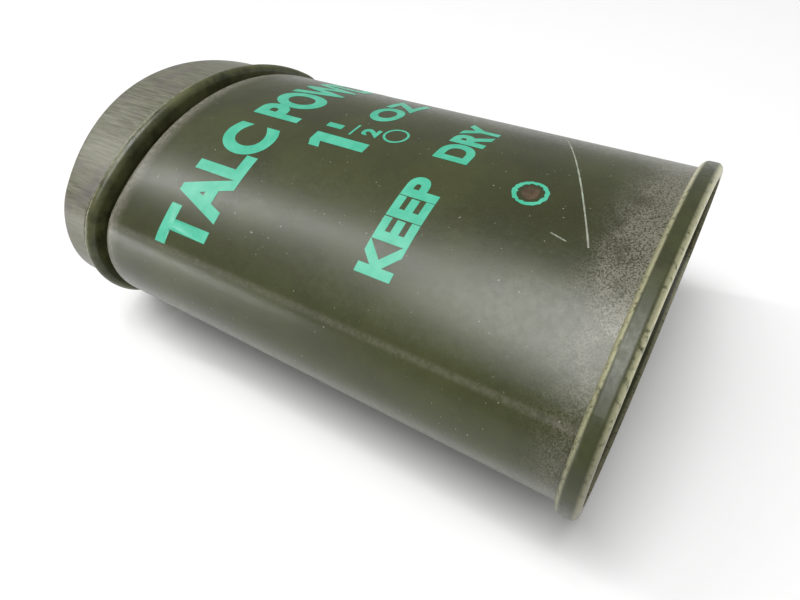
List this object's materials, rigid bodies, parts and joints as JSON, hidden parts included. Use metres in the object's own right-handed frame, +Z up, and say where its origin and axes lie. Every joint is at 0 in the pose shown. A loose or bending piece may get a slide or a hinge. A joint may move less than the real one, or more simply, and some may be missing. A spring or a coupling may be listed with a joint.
{
  "type": "talcum powder tin",
  "caption": "Small oval powder tin lying on its back, with a rolled base rim, a beaded neck and a push-on cap that carries a turning sifter dial.",
  "frame": {"origin": "on the surface that the tin lies on, under the middle of its length and width", "axes": "+X across the label in its reading direction, +Y along the tin from the base to the cap, +Z up out of the label face"},
  "size_m": [0.0528, 0.086, 0.0312],
  "materials": {
    "body_enamel": "satin olive drab enamel, worn pale near the base rim and on the shoulder",
    "label_ink": "satin turquoise printing ink",
    "seam_solder": "dull soft solder",
    "base_enamel": "satin olive enamel, rubbed to bare yellowish metal on the rim's edges",
    "neck_enamel": "satin olive enamel with a bare rubbed line on the bead",
    "cap_lacquer": "satin grey olive lacquer over drawn metal, with fine streaks along the skirt",
    "dial_lacquer": "satin grey olive lacquer with a rubbed edge",
    "rivet_metal": "dull yellowish tinned steel",
    "washer_metal": "dull tinned steel"
  },
  "bodies": {
    "can": {"body_wall": "body_enamel", "side_seam_solder": "seam_solder", "base_end": "base_enamel", "neck_collar": "neck_enamel"},
    "cap": {"cap_shell": "cap_lacquer", "dial_rivet": "rivet_metal", "rivet_washer": "washer_metal"},
    "dial": {"sifter_dial": "dial_lacquer"}
  },
  "joints": [
    {"name": "cap_pull", "type": "slide", "parent": "can", "child": "cap", "axis": [0, 1, 0], "range_m": [0, 0.02]},
    {"name": "dial_turn", "type": "hinge", "parent": "cap", "child": "dial", "pos_m": [0, 0.0418, 0.0156], "axis": [0, 1, 0], "range_deg": [0, 30]}
  ]
}
